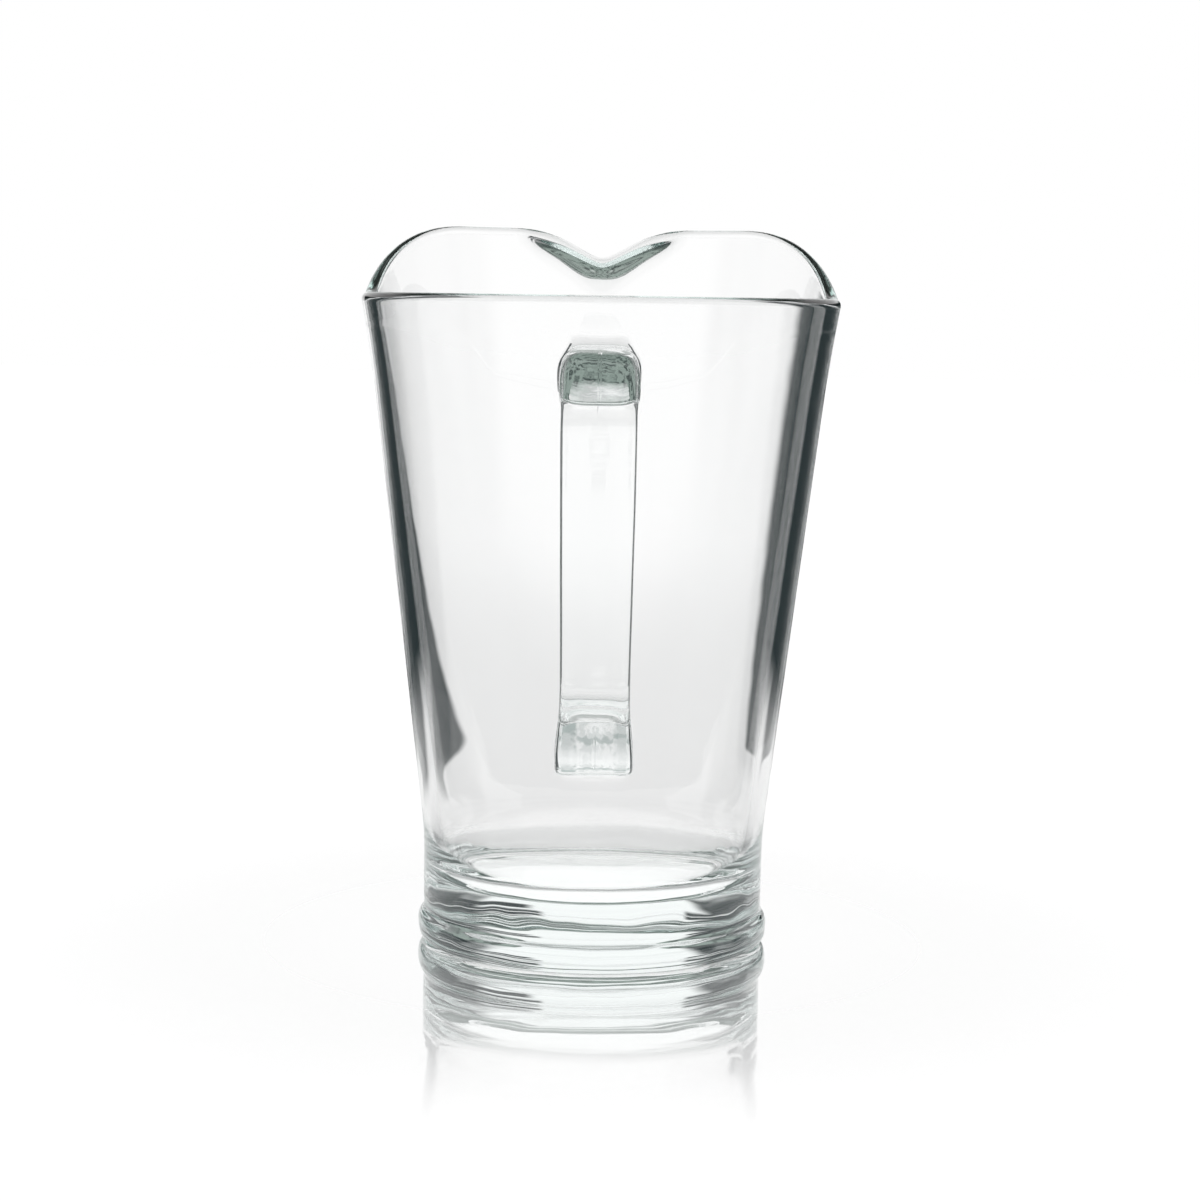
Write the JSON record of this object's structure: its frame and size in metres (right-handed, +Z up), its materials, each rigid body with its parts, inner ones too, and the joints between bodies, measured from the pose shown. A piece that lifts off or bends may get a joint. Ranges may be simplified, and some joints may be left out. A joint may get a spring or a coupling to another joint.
{
  "type": "glass jug",
  "caption": "Clear pressed-glass serving jug: tapered bowl on a heavy beaded foot, raised rim folded out into a pouring spout, and a squared loop handle.",
  "frame": {"origin": "on the jug's axis at the plane it stands on, in the middle of the flat underside", "axes": "+Z up, spout towards +Y, handle towards -Y, mirror plane at X = 0"},
  "size_m": [0.1464, 0.2006, 0.2216],
  "materials": {
    "foot_glass": "fire-polished",
    "bowl_glass": "fire-polished",
    "rim_glass": "fire-polished",
    "handle_glass": "fire-polished"
  },
  "bodies": {
    "root": {"foot": "foot_glass", "bowl": "bowl_glass", "spout_rim": "rim_glass", "handle": "handle_glass"}
  },
  "joints": []
}
